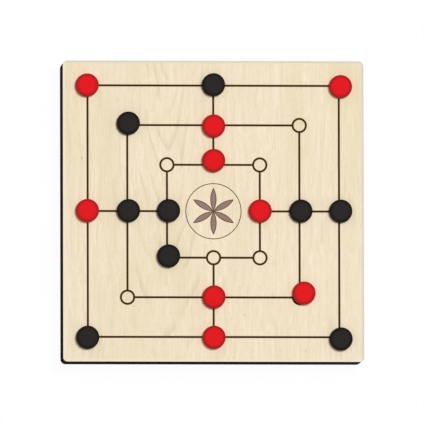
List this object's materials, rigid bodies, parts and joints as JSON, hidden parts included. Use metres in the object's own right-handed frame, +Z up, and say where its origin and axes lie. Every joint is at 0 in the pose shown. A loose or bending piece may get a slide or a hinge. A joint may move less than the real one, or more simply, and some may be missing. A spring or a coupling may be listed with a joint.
{
  "type": "nine men's morris box",
  "caption": "Shallow square wooden box whose lift-off lid is a nine men's morris board, with a divided tray for its red and black men.",
  "frame": {"origin": "centre of the box's underside, on the surface it stands on", "axes": "+Z up, -Y towards the player who sees the board upright, +X to that player's right"},
  "size_m": [0.3, 0.3, 0.051],
  "materials": {
    "black_lacquer": "satin black lacquer on fibreboard",
    "black_fibreboard": "through-dyed black fibreboard, sawn edge",
    "maple_veneer": "pale maple veneer, matt clear lacquer",
    "beech": "planed, unfinished",
    "brown_line_fill": "dark brown lacquer wiped into the engraving",
    "taupe_outline_fill": "dark taupe lacquer wiped into the engraving",
    "taupe_petal_fill": "taupe lacquer wiped into the engraving",
    "red_acrylic": "opaque cast acrylic with a darker cut edge",
    "black_acrylic": "opaque cast acrylic with a darker cut edge",
    "screw_steel": "zinc-plated steel"
  },
  "bodies": {
    "box": {"front_wall": "black_lacquer", "back_wall": "black_lacquer", "left_wall": "black_lacquer", "right_wall": "black_lacquer", "front_left_corner_tongue": "beech", "front_right_corner_tongue": "beech", "back_left_corner_tongue": "beech", "back_right_corner_tongue": "beech", "bottom_core": "black_fibreboard", "bottom_veneer": "maple_veneer", "divider": "black_lacquer", "bottom_screws": "screw_steel"},
    "lid": {"lid_core": "black_fibreboard", "lid_veneer": "maple_veneer", "board_marking": "brown_line_fill", "rosette_outline": "taupe_outline_fill", "rosette_petals": "taupe_petal_fill", "front_batten": "black_lacquer", "back_batten": "black_lacquer", "left_batten": "black_lacquer", "right_batten": "black_lacquer", "batten_screws": "screw_steel"},
    "red_man_1": {"red_man_1": "red_acrylic"},
    "red_man_2": {"red_man_2": "red_acrylic"},
    "red_man_3": {"red_man_3": "red_acrylic"},
    "red_man_4": {"red_man_4": "red_acrylic"},
    "red_man_5": {"red_man_5": "red_acrylic"},
    "red_man_6": {"red_man_6": "red_acrylic"},
    "red_man_7": {"red_man_7": "red_acrylic"},
    "red_man_8": {"red_man_8": "red_acrylic"},
    "red_man_9": {"red_man_9": "red_acrylic"},
    "black_man_1": {"black_man_1": "black_acrylic"},
    "black_man_2": {"black_man_2": "black_acrylic"},
    "black_man_3": {"black_man_3": "black_acrylic"},
    "black_man_4": {"black_man_4": "black_acrylic"},
    "black_man_5": {"black_man_5": "black_acrylic"},
    "black_man_6": {"black_man_6": "black_acrylic"},
    "black_man_7": {"black_man_7": "black_acrylic"},
    "black_man_8": {"black_man_8": "black_acrylic"},
    "black_man_9": {"black_man_9": "black_acrylic"}
  },
  "joints": [
    {"name": "lid_lift", "type": "slide", "parent": "box", "child": "lid", "axis": [0, 0, 1], "range_m": [0, 0.08]},
    {"name": "red_man_1_lift", "type": "slide", "parent": "lid", "child": "red_man_1", "axis": [0, 0, 1], "range_m": [0, 0.04]},
    {"name": "red_man_2_lift", "type": "slide", "parent": "lid", "child": "red_man_2", "axis": [0, 0, 1], "range_m": [0, 0.04]},
    {"name": "red_man_3_lift", "type": "slide", "parent": "lid", "child": "red_man_3", "axis": [0, 0, 1], "range_m": [0, 0.04]},
    {"name": "red_man_4_lift", "type": "slide", "parent": "lid", "child": "red_man_4", "axis": [0, 0, 1], "range_m": [0, 0.04]},
    {"name": "red_man_5_lift", "type": "slide", "parent": "lid", "child": "red_man_5", "axis": [0, 0, 1], "range_m": [0, 0.04]},
    {"name": "red_man_6_lift", "type": "slide", "parent": "lid", "child": "red_man_6", "axis": [0, 0, 1], "range_m": [0, 0.04]},
    {"name": "red_man_7_lift", "type": "slide", "parent": "lid", "child": "red_man_7", "axis": [0, 0, 1], "range_m": [0, 0.04]},
    {"name": "red_man_8_lift", "type": "slide", "parent": "lid", "child": "red_man_8", "axis": [0, 0, 1], "range_m": [0, 0.04]},
    {"name": "red_man_9_lift", "type": "slide", "parent": "lid", "child": "red_man_9", "axis": [0, 0, 1], "range_m": [0, 0.04]},
    {"name": "black_man_1_lift", "type": "slide", "parent": "lid", "child": "black_man_1", "axis": [0, 0, 1], "range_m": [0, 0.04]},
    {"name": "black_man_2_lift", "type": "slide", "parent": "lid", "child": "black_man_2", "axis": [0, 0, 1], "range_m": [0, 0.04]},
    {"name": "black_man_3_lift", "type": "slide", "parent": "lid", "child": "black_man_3", "axis": [0, 0, 1], "range_m": [0, 0.04]},
    {"name": "black_man_4_lift", "type": "slide", "parent": "lid", "child": "black_man_4", "axis": [0, 0, 1], "range_m": [0, 0.04]},
    {"name": "black_man_5_lift", "type": "slide", "parent": "lid", "child": "black_man_5", "axis": [0, 0, 1], "range_m": [0, 0.04]},
    {"name": "black_man_6_lift", "type": "slide", "parent": "lid", "child": "black_man_6", "axis": [0, 0, 1], "range_m": [0, 0.04]},
    {"name": "black_man_7_lift", "type": "slide", "parent": "lid", "child": "black_man_7", "axis": [0, 0, 1], "range_m": [0, 0.04]},
    {"name": "black_man_8_lift", "type": "slide", "parent": "lid", "child": "black_man_8", "axis": [0, 0, 1], "range_m": [0, 0.04]},
    {"name": "black_man_9_lift", "type": "slide", "parent": "lid", "child": "black_man_9", "axis": [0, 0, 1], "range_m": [0, 0.04]}
  ]
}
